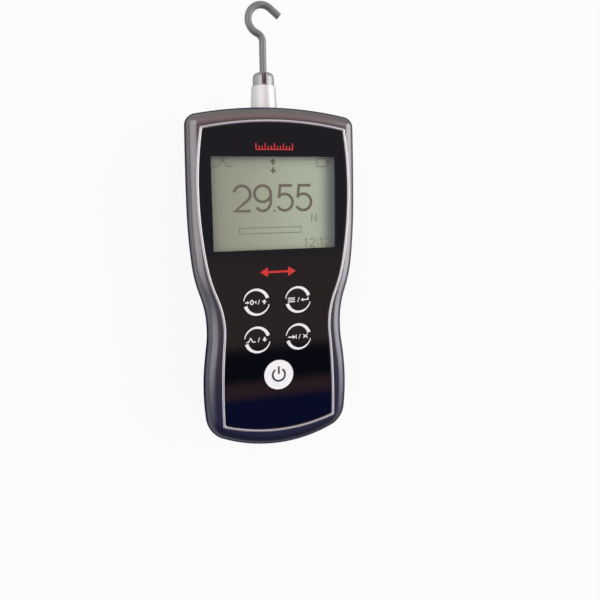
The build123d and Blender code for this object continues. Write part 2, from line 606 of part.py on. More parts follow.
# ---- Load cell: an S-beam, pulled or pushed along the axis ----------------------------------------------
with BuildPart() as load_cell:
    with BuildSketch(Plane.XY.offset(AXIS_Z - CELL_Z / 2)):
        with Locations((0, CELL_MID_Y)):
            Rectangle(CELL_X, CELL_Y)
            SlotCenterToCenter(CELL_WEB_SPREAD, 2 * CELL_WEB_HOLE, mode=Mode.SUBTRACT)
        slot_reach = (CELL_X + CELL_WEB_SPREAD) / 2 + CELL_WEB_HOLE
        for side, y in ((-1, CELL_TOP_Y - CELL_BAR), (1, CELL_FOOT_Y + CELL_BAR)):
            with Locations((side * (CELL_X - slot_reach) / 2, y - side * CELL_SLOT / 2)):
                Rectangle(slot_reach, CELL_SLOT, mode=Mode.SUBTRACT)
    extrude(amount=CELL_Z)
    for y, depth in ((CELL_TOP_Y, -CELL_BAR), (CELL_FOOT_Y, CELL_BAR)):
        with BuildSketch(along_axis(y)):
            Circle(THREAD_RADIUS)
        extrude(amount=depth, mode=Mode.SUBTRACT)
finish(load_cell, "load_cell")

with BuildPart() as strain_gauges:
    with Locations((0, CELL_MID_Y, AXIS_Z)):
        for side in (-1, 1):
            with GridLocations(CELL_WEB_SPREAD, 0, 2, 1):
                with Locations((0, CELL_WEB_HOLE + GAUGE_Y, side * (CELL_Z + GAUGE_THICK) / 2)):
                    Box(GAUGE_X, GAUGE_Y, GAUGE_THICK)
finish(strain_gauges, "strain_gauges")

with BuildPart() as anchor_block:
    with BuildSketch(Plane.XY.offset(PLATE_TOP_Z)):
        with Locations((0, ANCHOR_FOOT_Y)):
            Rectangle(ANCHOR_X, ANCHOR_Y, align=(Align.CENTER, Align.MIN))
    extrude(amount=ANCHOR_TOP_Z - PLATE_TOP_Z)
    with BuildSketch(along_axis(ANCHOR_FOOT_Y)):
        Circle(THREAD_RADIUS + SCREW_FREE)
    extrude(amount=ANCHOR_Y, mode=Mode.SUBTRACT)
    with Locations(*at_height(both_sides(ANCHOR_SCREWS), PLATE_Z)):
        Cylinder(M4_RADIUS, M4_BITE + FLAT_GAP, align=(Align.CENTER, Align.CENTER, Align.MIN),
                 mode=Mode.SUBTRACT)
finish(anchor_block, "anchor_block")

with BuildPart() as anchor_bolt:
    with BuildSketch(along_axis(ANCHOR_FOOT_Y)):
        RegularPolygon(NUT_FLATS / 2, 6, major_radius=False)
    extrude(amount=-NUT_THICK)
    with BuildSketch(along_axis(ANCHOR_FOOT_Y)):
        Circle(THREAD_RADIUS)
    extrude(amount=ANCHOR_Y + CELL_BAR - FLAT_GAP)
finish(anchor_bolt, "anchor_bolt")

# ---- Moving load line: shaft, lock nut and collet -------------------------------------------------------
with BuildPart() as load_shaft:
    with BuildSketch(along_axis(CELL_TOP_Y - CELL_BAR)):
        Circle(THREAD_RADIUS)
    extrude(amount=SHAFT_END_Y - CELL_TOP_Y + CELL_BAR)
finish(load_shaft, "load_shaft")

with BuildPart() as lock_nut:
    with BuildSketch(along_axis(CELL_TOP_Y)):
        RegularPolygon(NUT_FLATS / 2, 6, major_radius=False)
        Circle(THREAD_RADIUS, mode=Mode.SUBTRACT)
    extrude(amount=NUT_THICK)
finish(lock_nut, "lock_nut")

CHAMBER_TOP_Y = HEAD_FOOT_Y + HEAD_LENGTH + HEAD_GAP
with BuildPart() as hook_collet:
    with BuildSketch(along_axis(COLLET_FOOT_Y)):
        Circle(COLLET_RADIUS)
    extrude(amount=COLLET_TOP_Y - COLLET_FOOT_Y)
    fillet(hook_collet.faces().sort_by(Axis.Y)[-1].edges(), COLLET_DOME)
    for foot, top, radius in (
        (COLLET_FOOT_Y, SHAFT_END_Y + HEAD_GAP, THREAD_RADIUS),
        (SHAFT_END_Y, CHAMBER_TOP_Y, HEAD_RADIUS + RUN_FIT),
        (SHAFT_END_Y, COLLET_TOP_Y, WIRE_RADIUS + RUN_FIT),
    ):
        with BuildSketch(along_axis(foot)):
            Circle(radius)
        extrude(amount=top - foot, mode=Mode.SUBTRACT)
    with Locations((0, COLLET_TOP_Y, AXIS_Z)):
        Box(COLLET_SLOT, COLLET_SLOT_DEEP, 2 * COLLET_RADIUS, rotation=(0, -COLLET_TURN, 0),
            align=(Align.CENTER, Align.MAX, Align.CENTER), mode=Mode.SUBTRACT)
finish(hook_collet, "hook_collet")

with BuildPart() as nose_sleeve:
    with BuildSketch(AXIS_PLANE):
        with BuildLine():
            Polyline(
                (SLEEVE_BORE_RADIUS, SLEEVE_FLANGE_FOOT_Y),
                (SLEEVE_FLANGE_RADIUS, SLEEVE_FLANGE_FOOT_Y),
                (SLEEVE_FLANGE_RADIUS, SLEEVE_FLANGE_TOP_Y),
                (SLEEVE_BASE_RADIUS, SLEEVE_FLANGE_TOP_Y),
                (SLEEVE_BASE_RADIUS, HOUSING_TOP_Y),
                (SLEEVE_TIP_RADIUS, SLEEVE_TIP_Y),
                (SLEEVE_BORE_RADIUS, SLEEVE_TIP_Y),
                close=True,
            )
        make_face()
    revolve(axis=LOAD_AXIS)
finish(nose_sleeve, "nose_sleeve")

with BuildPart() as dust_seal:
    with BuildSketch(along_axis(SLEEVE_FLANGE_FOOT_Y)):
        Circle(SLEEVE_BORE_RADIUS)
        Circle(THREAD_RADIUS + RUN_FIT, mode=Mode.SUBTRACT)
    extrude(amount=SEAL_LENGTH)
finish(dust_seal, "dust_seal")

# ---- Hook: one bent wire with a round head caught in the collet -----------------------------------------
BEND_Y = EYE_Y - sqrt((BEND_RADIUS + EYE_RADIUS) ** 2 - (BEND_RADIUS + EYE_X) ** 2)
BEND_TURN = degrees(atan2(EYE_Y - BEND_Y, EYE_X + BEND_RADIUS))
with BuildPart() as hook:
    with BuildLine(AXIS_PLANE) as wire:
        shank = Line((0, HEAD_FOOT_Y), (0, BEND_Y))
        bend = JernArc(shank @ 1, (0, 1), BEND_RADIUS, BEND_TURN)
        eye = JernArc(bend @ 1, bend % 1, EYE_RADIUS, -(BEND_TURN + 90 + TIP_SLOPE))
        Line(eye @ 1, eye @ 1 + (eye % 1) * TIP_LENGTH)
    with BuildSketch(along_axis(HEAD_FOOT_Y)):
        Circle(WIRE_RADIUS)
    sweep(path=wire.line)
    with BuildSketch(along_axis(HEAD_FOOT_Y)):
        Circle(HEAD_RADIUS)
    extrude(amount=HEAD_LENGTH)
finish(hook, "hook")

# ---- Chassis ---------------------------------------------------------------------------------------
with BuildPart() as chassis_plate:
    with BuildSketch(Plane.XY.offset(PLATE_Z)):
        with Locations((0, (PLATE_FOOT_Y + PLATE_TOP_Y) / 2)):
            RectangleRounded(PLATE_X, PLATE_TOP_Y - PLATE_FOOT_Y, PLATE_CORNER)
        with Locations(*both_sides(PLATE_SCREWS)):
            Circle(M3_RADIUS + SCREW_FREE, mode=Mode.SUBTRACT)
    extrude(amount=PLATE_THICK)
    with Locations(*at_height(both_sides(ANCHOR_SCREWS), PLATE_Z)):
        Cone(M4_HEAD_RADIUS, M4_RADIUS, M4_CONE, align=(Align.CENTER, Align.CENTER, Align.MIN),
             mode=Mode.SUBTRACT)
        Cylinder(M4_RADIUS, PLATE_THICK, align=(Align.CENTER, Align.CENTER, Align.MIN),
                 mode=Mode.SUBTRACT)
finish(chassis_plate, "chassis_plate")

with BuildPart() as anchor_screws:
    with Locations(*at_height(both_sides(ANCHOR_SCREWS), PLATE_Z)):
        Cone(M4_HEAD_RADIUS, M4_RADIUS, M4_CONE, align=(Align.CENTER, Align.CENTER, Align.MIN))
        Cylinder(M4_RADIUS, M4_BITE, align=(Align.CENTER, Align.CENTER, Align.MIN))
finish(anchor_screws, "anchor_screws")

plate_screw = socket_screw(M3_RADIUS, PLATE_THICK + PLATE_BITE - FLAT_GAP, M3_HEAD_RADIUS,
                           M3_HEAD, M3_SOCKET, M3_SOCKET_DEEP)
with BuildPart() as plate_screws:
    with Locations(*at_height(both_sides(PLATE_SCREWS), PLATE_TOP_Z)):
        add(plate_screw)
finish(plate_screws, "plate_screws")

with BuildPart() as stand_bushes:
    with GridLocations(STAND_X, STAND_Y, 2, 2):
        Cylinder(STAND_BUSH_RADIUS, PLATE_Z, align=(Align.CENTER, Align.CENTER, Align.MIN))
    with Locations((0, 0, PLATE_Z)):
        with GridLocations(STAND_X, STAND_Y, 2, 2):
            Cylinder(STAND_BUSH_FLANGE, STAND_FLANGE_THICK,
                     align=(Align.CENTER, Align.CENTER, Align.MAX))
            Cylinder(STAND_HOLE_RADIUS, PLATE_Z, align=(Align.CENTER, Align.CENTER, Align.MAX),
                     mode=Mode.SUBTRACT)
finish(stand_bushes, "stand_bushes")

# ---- Battery pack ------------------------------------------------------------------------------------
with BuildPart() as battery_tray:
    with BuildSketch(Plane.XY.offset(PLATE_TOP_Z)):
        with Locations((0, TRAY_MID_Y)):
            Rectangle(TRAY_X, TRAY_Y)
    extrude(amount=TRAY_FLOOR + TRAY_RISE)
    with BuildSketch(Plane.XY.offset(PLATE_TOP_Z + TRAY_FLOOR)):
        with Locations((0, TRAY_MID_Y)):
            Rectangle(TRAY_X - 2 * TRAY_WALL, TRAY_Y - 2 * TRAY_WALL)
    extrude(amount=TRAY_RISE, mode=Mode.SUBTRACT)
finish(battery_tray, "battery_tray")

with BuildPart() as battery_cells:
    for index in range(BATTERY_COUNT):
        x = (index - (BATTERY_COUNT - 1) / 2) * BATTERY_PITCH
        with BuildSketch(along_axis(BATTERY_FOOT_Y, BATTERY_FOOT_Z + BATTERY_RADIUS)):
            with Locations((x, 0)):
                Circle(BATTERY_RADIUS)
        extrude(amount=BATTERY_LENGTH)
        with BuildSketch(along_axis(BATTERY_FOOT_Y + BATTERY_LENGTH, BATTERY_FOOT_Z + BATTERY_RADIUS)):
            with Locations((x, 0)):
                Circle(BATTERY_TERMINAL_RADIUS)
        extrude(amount=BATTERY_TERMINAL)
finish(battery_cells, "battery_cells")

with BuildPart() as battery_pad:
    with BuildSketch(Plane.XY.offset(BATTERY_TOP_Z)):
        with Locations((0, BATTERY_MID_Y)):
            Rectangle(PAD_X, PAD_Y)
    extrude(amount=BOARD_FOOT_Z - BATTERY_TOP_Z)
finish(battery_pad, "battery_pad")


# ---- Sockets at the foot -------------------------------------------------------------------------------
def board_socket(x, nose_radius, bore_radius, bore_deep, pin_radius=0.0):
    """Socket under the board: a block with a round nose that reaches out through the foot wall."""
    with BuildPart() as socket:
        with Locations((x, SOCKET_BACK_Y, BOARD_FOOT_Z)):
            Box(SOCKET_BODY, SOCKET_DEPTH, BOARD_FOOT_Z - AXIS_Z + SOCKET_BODY / 2,
                align=(Align.CENTER, Align.MAX, Align.MAX))
        with BuildSketch(along_axis(SOCKET_BACK_Y)):
            with Locations((x, 0)):
                Circle(nose_radius)
        extrude(amount=SOCKET_FACE_Y - SOCKET_BACK_Y)
        with BuildSketch(along_axis(SOCKET_FACE_Y)):
            with Locations((x, 0)):
                Circle(bore_radius)
                if pin_radius:
                    Circle(pin_radius, mode=Mode.SUBTRACT)
        extrude(amount=bore_deep, mode=Mode.SUBTRACT)
    return socket


finish(board_socket(-SOCKET_X, POWER_NOSE_RADIUS, POWER_BORE_RADIUS, POWER_BORE_DEEP, POWER_PIN_RADIUS),
       "power_socket")
finish(board_socket(SOCKET_X, DATA_NOSE_RADIUS, DATA_BORE_RADIUS, DATA_BORE_DEEP), "data_socket")

# ---- Leads and their plugs -----------------------------------------------------------------------------
finish(under_board(SENSOR_PLUG_PLACE, PLUG_SIZE, (SENSOR_WAYS + 1) * LEAD_PITCH, PLUG_Z), "sensor_plug")
finish(under_board(BATTERY_PLUG_PLACE, (BATTERY_WAYS + 1) * LEAD_PITCH, PLUG_SIZE, PLUG_Z), "battery_plug")

SENSOR_LEAD_Z = BOARD_FOOT_Z - PLUG_Z / 2
SENSOR_PLUG_FACE_X = SENSOR_PLUG_PLACE[0] - PLUG_SIZE / 2
sensor_step = (SENSOR_PLUG_FACE_X - CELL_X / 2) / 3
sensor_runs = []
for index in range(SENSOR_WAYS):
    y = SENSOR_PLUG_PLACE[1] + (index - (SENSOR_WAYS - 1) / 2) * LEAD_PITCH
    sensor_runs.append(lead(
        [
            (CELL_X / 2, y, AXIS_Z),
            (CELL_X / 2 + sensor_step, y, AXIS_Z),
            (SENSOR_PLUG_FACE_X - sensor_step, y, SENSOR_LEAD_Z),
            (SENSOR_PLUG_FACE_X, y, SENSOR_LEAD_Z),
        ],
        LEAD_RADIUS,
        LEAD_BEND,
    ))
with BuildPart() as sensor_leads:
    add(sensor_runs)
finish(sensor_leads, "sensor_leads")

BATTERY_LEAD_Z = PLATE_TOP_Z + TRAY_RISE / 2
battery_runs = []
for side in (-1, 1):
    x = BATTERY_PLUG_PLACE[0] + side * LEAD_PITCH / 2
    y = BATTERY_PLUG_PLACE[1]
    battery_runs.append(lead(
        [(x, TRAY_END_Y, BATTERY_LEAD_Z), (x, y, BATTERY_LEAD_Z), (x, y, BOARD_FOOT_Z - PLUG_Z)],
        LEAD_RADIUS,
        LEAD_BEND,
    ))
with BuildPart() as battery_leads:
    add(battery_runs)
finish(battery_leads, "battery_leads")
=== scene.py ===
import math

import bpy
import numpy as np
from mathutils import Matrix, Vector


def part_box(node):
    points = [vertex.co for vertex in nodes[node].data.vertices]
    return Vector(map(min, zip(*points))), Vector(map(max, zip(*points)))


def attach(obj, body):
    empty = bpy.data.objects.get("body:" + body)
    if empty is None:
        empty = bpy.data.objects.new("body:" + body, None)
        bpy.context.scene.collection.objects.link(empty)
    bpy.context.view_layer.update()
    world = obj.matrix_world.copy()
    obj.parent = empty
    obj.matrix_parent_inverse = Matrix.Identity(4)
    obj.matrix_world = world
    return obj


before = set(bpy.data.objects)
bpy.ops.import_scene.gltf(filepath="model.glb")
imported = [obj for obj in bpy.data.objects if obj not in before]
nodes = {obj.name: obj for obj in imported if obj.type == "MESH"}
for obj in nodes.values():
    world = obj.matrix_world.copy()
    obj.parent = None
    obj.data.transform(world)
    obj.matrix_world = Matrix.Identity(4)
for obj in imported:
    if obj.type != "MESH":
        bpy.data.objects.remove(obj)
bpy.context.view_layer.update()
MM = 0.001


# Housing shells: two plastic mouldings that part on the load axis and are screwed together from
# the back. Their glossy metallic paint is graphite on the crest and navy on the flanks and foot; the
# navy is partly a painted reflection, and the darker, bluer colour towards the foot is a painted reflection.
class Value:
    """A shader output; arithmetic on it adds Math nodes."""

    def __init__(self, paint, socket):
        self.paint, self.socket = paint, socket

    def math(self, operation, *others):
        """A Math node on this value and the others."""
        return self.paint.node("ShaderNodeMath", [self, *others], operation=operation)

    def __add__(self, other):
        return self.math("ADD", other)

    def __sub__(self, other):
        return self.math("SUBTRACT", other)

    def __rsub__(self, other):
        return self.paint.node("ShaderNodeMath", [other, self], operation="SUBTRACT")

    def __mul__(self, other):
        return self.math("MULTIPLY", other)

    def __truediv__(self, other):
        return self.math("DIVIDE", other)

    def __abs__(self):
        return self.math("ABSOLUTE")

    __radd__ = __add__
    __rmul__ = __mul__

    def step(self, low, high):
        """0 below low, 1 above high, smooth between."""
        return self.paint.node("ShaderNodeMapRange", {"Value": self, "From Min": low, "From Max": high},
                               interpolation_type="SMOOTHSTEP")


class Paint:
    """A material's nodes: node() adds one, with its settings first and then its sockets."""

    def __init__(self, name):
        self.material = bpy.data.materials.new(name)
        self.material.use_nodes = True
        self.tree = self.material.node_tree
        self.shader = self.tree.nodes["Principled BSDF"]
        self.output = self.tree.nodes["Material Output"]

    def node(self, kind, sockets=(), output=0, stops=(), **settings):
        made = self.tree.nodes.new(kind)
        for key, setting in settings.items():
            setattr(made, key, setting)
        if stops:
            ramp = made.color_ramp
            while len(ramp.elements) < len(stops):
                ramp.elements.new(1.0)
            for element, (place, colour) in zip(ramp.elements, stops):
                element.position, element.color = place, (*colour, 1.0)
        pairs = sockets.items() if isinstance(sockets, dict) else enumerate(sockets)
        for key, value in pairs:
            self.feed(made.inputs[key], value)
        return Value(self, made.outputs[output])

    def feed(self, socket, value):
        if isinstance(value, Value):
            self.tree.links.new(value.socket, socket)
        else:
            socket.default_value = value

    def set(self, **values):
        """Sockets of the main shader; a double underscore in a name stands for a space."""
        for key, value in values.items():
            self.feed(self.shader.inputs[key.replace("__", " ")], value)
        return self

    def place(self):
        """The point's place on the piece, in metres."""
        return self.node("ShaderNodeTexCoord", output="Object")

    def axes(self, vector):
        """The three numbers of a vector."""
        return [self.node("ShaderNodeSeparateXYZ", [vector], output=axis) for axis in "XYZ"]

    def noise(self, where, scale, detail=3.0, rough=0.5):
        """Soft spots around 0.5; scale is how many there are to a metre."""
        sockets = {"Vector": where, "Scale": scale, "Detail": detail, "Roughness": rough}
        return self.node("ShaderNodeTexNoise", sockets, output="Fac")

    def mix(self, amount, low, high):
        """A colour that goes from low to high as amount goes from 0 to 1."""
        low, high = [(*c, 1.0) if isinstance(c, tuple) else c for c in (low, high)]
        return self.node("ShaderNodeMix", {0: amount, 6: low, 7: high}, output=2, data_type="RGBA")

    def bump(self, height, distance, strength=1.0):
        """Fine relief: a height from 0 to 1 raised by distance, in metres."""
        sockets = {"Height": height, "Distance": distance, "Strength": strength}
        return self.set(Normal=self.node("ShaderNodeBump", sockets))


def dress(paint, *names):
    """The named CAD nodes take this finish."""
    for name in names:
        slots = nodes[name].data.materials
        slots.clear()
        slots.append(paint.material)


def shell_paint_and_painted_reflection():
    """The colour goes by height: below the crest it falls from the crest colour to the darker navy of the
    flanks, which is partly two-tone paint and partly a painted reflection. Both colours are darker and
    bluer towards the foot, a painted reflection."""
    paint = Paint("shell_paint_and_painted_reflection")
    (_, foot, _), (_, top, crest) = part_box("front_housing")
    length = top - foot
    where = paint.place()
    _, y, z = paint.axes(where)
    # Painted reflection: the shell's colour is darker and bluer towards the foot, fading out up its length.
    painted_foot_reflection_fade = y.step(foot + 0.12 * length, foot + 0.65 * length)
    face = z.step(crest - 6.0 * MM, crest - 1.2 * MM)
    grain = paint.noise(where, 2600.0, 2.0)
    cloud = paint.noise(where, 35.0)
    # The flank's navy is partly two-tone paint and partly a painted reflection; both colours darken towards
    # the foot as a painted reflection.
    flank_paint_and_painted_reflection = paint.mix(painted_foot_reflection_fade, (0.020, 0.026, 0.060), (0.065, 0.070, 0.105))
    crown_paint_and_painted_reflection = paint.mix(painted_foot_reflection_fade, (0.130, 0.130, 0.155), (0.222, 0.208, 0.213))
    colour = paint.mix(cloud * 0.24, paint.mix(face, flank_paint_and_painted_reflection, crown_paint_and_painted_reflection), (0.0, 0.0, 0.0))
    paint.set(Base__Color=colour, Roughness=cloud * 0.08 + 0.20, Metallic=0.97)
    paint.set(Specular__Tint=(0.15, 0.15, 0.21, 1.0))
    return paint.bump(grain, 0.01 * MM, 0.35)


dress(shell_paint_and_painted_reflection(), "front_housing", "rear_housing")


# Bead round the front panel: a thin strip with a bright satin plating, pressed into the recess
# between the shell and the panel.
def bead_metal():
    paint = Paint("bead_metal")
    wear = paint.noise(paint.place(), 220.0)
    return paint.set(Base__Color=(0.60, 0.59, 0.60, 1.0), Metallic=1.0, Roughness=wear * 0.08 + 0.36)


dress(bead_metal(), "panel_trim")


# Front panel and its four round keys: black polished acrylic, cut from one sheet and bonded into
# the front shell. The keys lie flush in it with a hair's gap all round.
ACRYLIC_IOR = 1.49


def panel_gloss():
    paint = Paint("panel_gloss")
    haze = paint.noise(paint.place(), 60.0)
    return paint.set(Base__Color=(0.002, 0.002, 0.003, 1.0), Roughness=haze * 0.02 + 0.02, IOR=ACRYLIC_IOR)


dress(panel_gloss(), "front_panel", "key_zero", "key_menu", "key_peak", "key_send")


# Display window: a clear acrylic pane let into the panel and bonded at its edge. It lets the
# display's colours through and adds only its gloss, which grows towards grazing angles.
def clear_pane():
    paint = Paint("clear_pane")
    outer = 1 - paint.node("ShaderNodeNewGeometry", output="Backfacing")
    fresnel = paint.node("ShaderNodeFresnel", {"IOR": ACRYLIC_IOR}) * outer
    clear = paint.node("ShaderNodeBsdfTransparent", {"Color": (0.98, 0.99, 0.98, 1.0)})
    gloss = paint.node("ShaderNodeBsdfGlossy", {"Roughness": 0.04})
    paint.feed(paint.output.inputs["Surface"], paint.node("ShaderNodeMixShader", [fresnel, clear, gloss]))
    paint.tree.nodes.remove(paint.shader)
    return paint


dress(clear_pane(), "display_window")


# Display: a grey-green liquid-crystal glass in a thin steel frame, clipped over its backlight
# guide and two rubber contact strips. Its colour carries painted light, lighter towards the right,
# and a painted shade, darker and bluer at that edge.
WINDOW_HALF_X = 27.0 * MM


def display_glass():
    paint = Paint("display_glass")
    where = paint.place()
    across = paint.axes(where)[0] / WINDOW_HALF_X
    # Painted light: the glass grows lighter from left to right.
    colour = paint.mix(across.step(-1.0, 0.8), (0.318, 0.332, 0.248), (0.455, 0.515, 0.375))
    # Painted shade: a darker, bluer band along the right edge.
    colour = paint.mix(across.step(0.72, 1.0) * 0.85, colour, (0.190, 0.222, 0.226))
    paint.set(Base__Color=colour, Roughness=0.42, IOR=1.5)
    return paint.bump(paint.noise(where, 3500.0, 2.0), 0.004 * MM, 0.3)


def plain(name, colour, rough, metallic=0.0, scale=400.0, spread=0.12):
    """A finish whose colour wanders a little either side of the given one."""
    paint = Paint(name)
    cloud = paint.noise(paint.place(), scale)
    low, high = [tuple(min(c * k, 1.0) for c in colour) for k in (1 - spread, 1 + spread)]
    return paint.set(Base__Color=paint.mix(cloud, low, high), Metallic=metallic,
                     Roughness=cloud * 0.15 + rough)


dress(display_glass(), "lcd_glass")
dress(plain("zinc_steel", (0.52, 0.53, 0.55), 0.28, 1.0, 900.0), "lcd_frame", "anchor_bolt", "anchor_screws",
      "chassis_plate", "plate_screws", "case_screws", "board_screws", "load_shaft", "lock_nut")
dress(plain("milky_guide", (0.80, 0.82, 0.78), 0.35), "lcd_backlight")
dress(plain("strip_rubber", (0.16, 0.06, 0.06), 0.55), "lcd_contact_strips")


# Marks on the display: dark segments inside the glass, so thin that they read as print on its top.
# The reading and the arrows are darker than the small marks: peak sign, battery, unit, bar, clock.
def line_through(*points):
    """The given points as an array, one row each."""
    return np.array(points, float)


def bow(centre, radii, start, end, count=24):
    """Points on an ellipse: centre + (radius x times cosine, radius y times sine) of an angle that
    goes evenly from start to end, in degrees."""
    turn = np.radians(np.linspace(start, end, count))
    return np.column_stack([centre[0] + radii[0] * np.cos(turn), centre[1] + radii[1] * np.sin(turn)])


def pen(path, width, closed=False):
    """A band of quads along a path. Each point is set out to either side along the mean of the two
    sides' normals there, by half the width over the cosine between that mean and a side's normal,
    so the band keeps its width round a corner."""
    path = np.asarray(path, float)
    before = np.roll(path, 1, axis=0)
    after = np.roll(path, -1, axis=0)
    if not closed:
        before[0] = 2 * path[0] - path[1]
        after[-1] = 2 * path[-1] - path[-2]
    into = path - before
    out = after - path
    into /= np.linalg.norm(into, axis=1)[:, None]
    out /= np.linalg.norm(out, axis=1)[:, None]
    normal = np.column_stack([-(into + out)[:, 1], (into + out)[:, 0]])
    normal /= np.linalg.norm(normal, axis=1)[:, None]
    square = np.column_stack([-into[:, 1], into[:, 0]])
    mitre = 1 / np.clip((normal * square).sum(axis=1), 0.5, 1)
    reach = normal * (np.broadcast_to(width, len(path)) / 2 * mitre)[:, None]
    points = np.vstack([path - reach, path + reach])
    count = len(path)
    first = np.arange(count if closed else count - 1)
    second = (first + 1) % count
    return points, np.column_stack([first, second, second + count, first + count])


def blot(corners):
    """A filled convex patch: a fan of quads, each the first corner and three that follow on. An odd
    count of corners gets one more, halfway along the last side."""
    corners = np.asarray(corners, float)
    if len(corners) % 2:
        corners = np.vstack([corners, (corners[0] + corners[-1]) / 2])
    steps = np.arange(1, len(corners) - 2, 2)
    return corners, np.column_stack([np.zeros_like(steps), steps, steps + 1, steps + 2])


def moved(shapes, x, y):
    """The shapes set down with their origin at x, y."""
    return [(points + (x, y), quads) for points, quads in shapes]


INK_THICK = 0.02 * MM
INK_STEP = 0.0003 * MM


def printed(name, shapes, z, paint, body):
    """Flat marks, in millimetres, become one thin piece on height z, in metres, that rides on the
    body. A mark's top is at z, plus the ink's thickness, plus its place in the list times a hair,
    so no two marks overlap in one plane. Faces that wind clockwise are turned over."""
    start, corners, faces = 0, [], []
    for index, (points, quads) in enumerate(shapes):
        a, b, c = points[quads[:, 0]], points[quads[:, 1]], points[quads[:, 2]]
        turn = np.sum((b - a)[:, 0] * (c - b)[:, 1] - (b - a)[:, 1] * (c - b)[:, 0])
        height = np.full(len(points), z + INK_THICK + index * INK_STEP)
        corners.append(np.column_stack([points * MM, height]))
        faces.append((quads if turn > 0 else quads[:, ::-1]) + start)
        start += len(points)
    mesh = bpy.data.meshes.new(name)
    mesh.from_pydata(np.vstack(corners).tolist(), [], np.vstack(faces).tolist())
    mesh.update()
    mesh.materials.append(paint.material)
    piece = bpy.data.objects.new(name, mesh)
    bpy.context.collection.objects.link(piece)
    solid = piece.modifiers.new("thickness", "SOLIDIFY")
    solid.thickness, solid.offset = INK_THICK, -1.0
    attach(piece, body)
    return piece


def two(width, height, weight):
    """Figure 2: a bow over the top, a slant to the foot and a bar along it."""
    r = width / 2
    top = bow((r, height - r), (r, r), 165, -35)
    return [pen(np.vstack([top, line_through((0.06 * width, 0.02), (width, 0.02))]), weight)]


def nine(width, height, weight):
    """Figure 9: a ring, and a tail from its right side down to the lower left."""
    r = width / 2
    ring = bow((r, height * 0.68), (r, height * 0.32), 0, 350, 40)
    hook = bow((r, height * 0.40), (r, height * 0.40), 0, -140)
    tail = np.vstack([line_through((width, height * 0.68)), hook])
    return [pen(ring, weight, closed=True), pen(tail, weight)]


def five(width, height, weight):
    """Figure 5: a bar, a short upright and a bowl."""
    upright = line_through((0.95 * width, height), (0.20 * width, height), (0.12 * width, 0.50 * height))
    bowl = bow((0.47 * width, 0.33 * height), (0.50 * width, 0.33 * height), 142, -150, 32)
    return [pen(upright, weight), pen(bowl, weight)]


def one(width, height, weight):
    """Figure 1: an upright with a short flag."""
    stem = 0.62 * width
    return [pen(line_through((0.25 * width, 0.78 * height), (stem, height), (stem, 0)), weight)]


def oblong(left, foot, right, top):
    """The corners of an upright rectangle."""
    return line_through((left, foot), (right, foot), (right, top), (left, top))


READING_SIZE = (7.1, 10.5, 1.2)     # a figure's width, its height and the stroke
READING_FOOT = 30.4
reading = []
for figure, left in ((two, -17.2), (nine, -8.3), (five, 1.6), (five, 10.0)):
    reading += moved(figure(*READING_SIZE), left, READING_FOOT)
reading.append(blot(oblong(-0.05, 29.9, 0.75, 30.7)))
for tip, way in ((52.2, -1), (45.8, 1)):
    neck = tip + way * 1.7
    reading.append(blot([(0.05, tip), (-1.45, neck), (1.55, neck)]))
    reading.append(blot(oblong(-0.40, neck, 0.50, neck + way)))

CLOCK_SIZE = (2.1, 3.5, 0.38)
CLOCK_FOOT = 14.6
small = []
for figure, left in ((one, 13.2), (two, 16.2), (one, 20.4), (two, 23.4)):
    small += moved(figure(*CLOCK_SIZE), left, CLOCK_FOOT)
for dot_y in (15.6, 17.2):
    small.append(blot(oblong(19.4, dot_y - 0.25, 19.9, dot_y + 0.25)))
unit_newton = line_through((17.1, 25.3), (17.1, 28.6), (19.3, 25.3), (19.3, 28.6))
peak_curve = line_through((-25.4, 48.9), (-23.4, 48.9), (-21.6, 51.6), (-19.8, 48.9), (-17.2, 48.9))
small += [
    pen(unit_newton, 0.45),
    pen(oblong(-15.2, 20.9, 12.1, 23.3), 0.32, closed=True),    # bar
    pen(oblong(19.7, 48.8, 24.2, 52.1), 0.36, closed=True),     # battery
    blot(oblong(24.2, 49.4, 25.3, 51.5)),                       # its terminal
    pen(peak_curve, 0.45),
    pen(line_through((-23.0, 52.2), (-20.2, 52.2)), 0.40),
]

glass_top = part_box("lcd_glass")[1][2]
dark_segment = plain("dark_segment", (0.145, 0.120, 0.088), 0.4)
faint_segment = plain("faint_segment", (0.190, 0.190, 0.145), 0.4)
printed("display_figures", reading, glass_top, dark_segment, "case")
printed("display_small_marks", small, glass_top, faint_segment, "case")


# Print on the panel: a red tick scale above the display and a red double arrow below it, which
# stands for push and pull. Each is one thin coat of screen-printed ink.
panel_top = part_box("front_panel")[1][2]
red_ink = plain("red_ink", (0.62, 0.020, 0.018), 0.35)
SCALE_Y, SCALE_STEPS = 55.6, 12
ticks = [pen(line_through((-8.2, SCALE_Y), (8.0, SCALE_Y)), 0.35)]
for index in range(SCALE_STEPS + 1):
    tick_x = -8.0 + index * 15.8 / SCALE_STEPS
    tall = 2.6 if index % 3 == 0 else 1.5
    ticks.append(pen(line_through((tick_x, SCALE_Y), (tick_x, SCALE_Y + tall)), 0.42))
ARROW_Y, ARROW_LONG, ARROW_HALF = 4.6, 3.4, 2.1
arrows = [pen(line_through((-4.2, ARROW_Y), (5.2, ARROW_Y)), 0.9)]
for way, tip in ((-1, -7.4), (1, 8.4)):
    barb_x = tip - way * ARROW_LONG
    arrows.append(blot([(tip, ARROW_Y), (barb_x, ARROW_Y - ARROW_HALF), (barb_x, ARROW_Y + ARROW_HALF)]))
printed("red_scale", ticks, panel_top, red_ink, "case")
printed("red_arrows", arrows, panel_top, red_ink, "case")


# Key marks: each black key carries a ring of two crescents in white ink, with a row of signs
# between them, printed on its top. They move with the key.
RING_RADIUS = 5.86
white_ink = plain("white_ink", (0.82, 0.84, 0.83), 0.35)


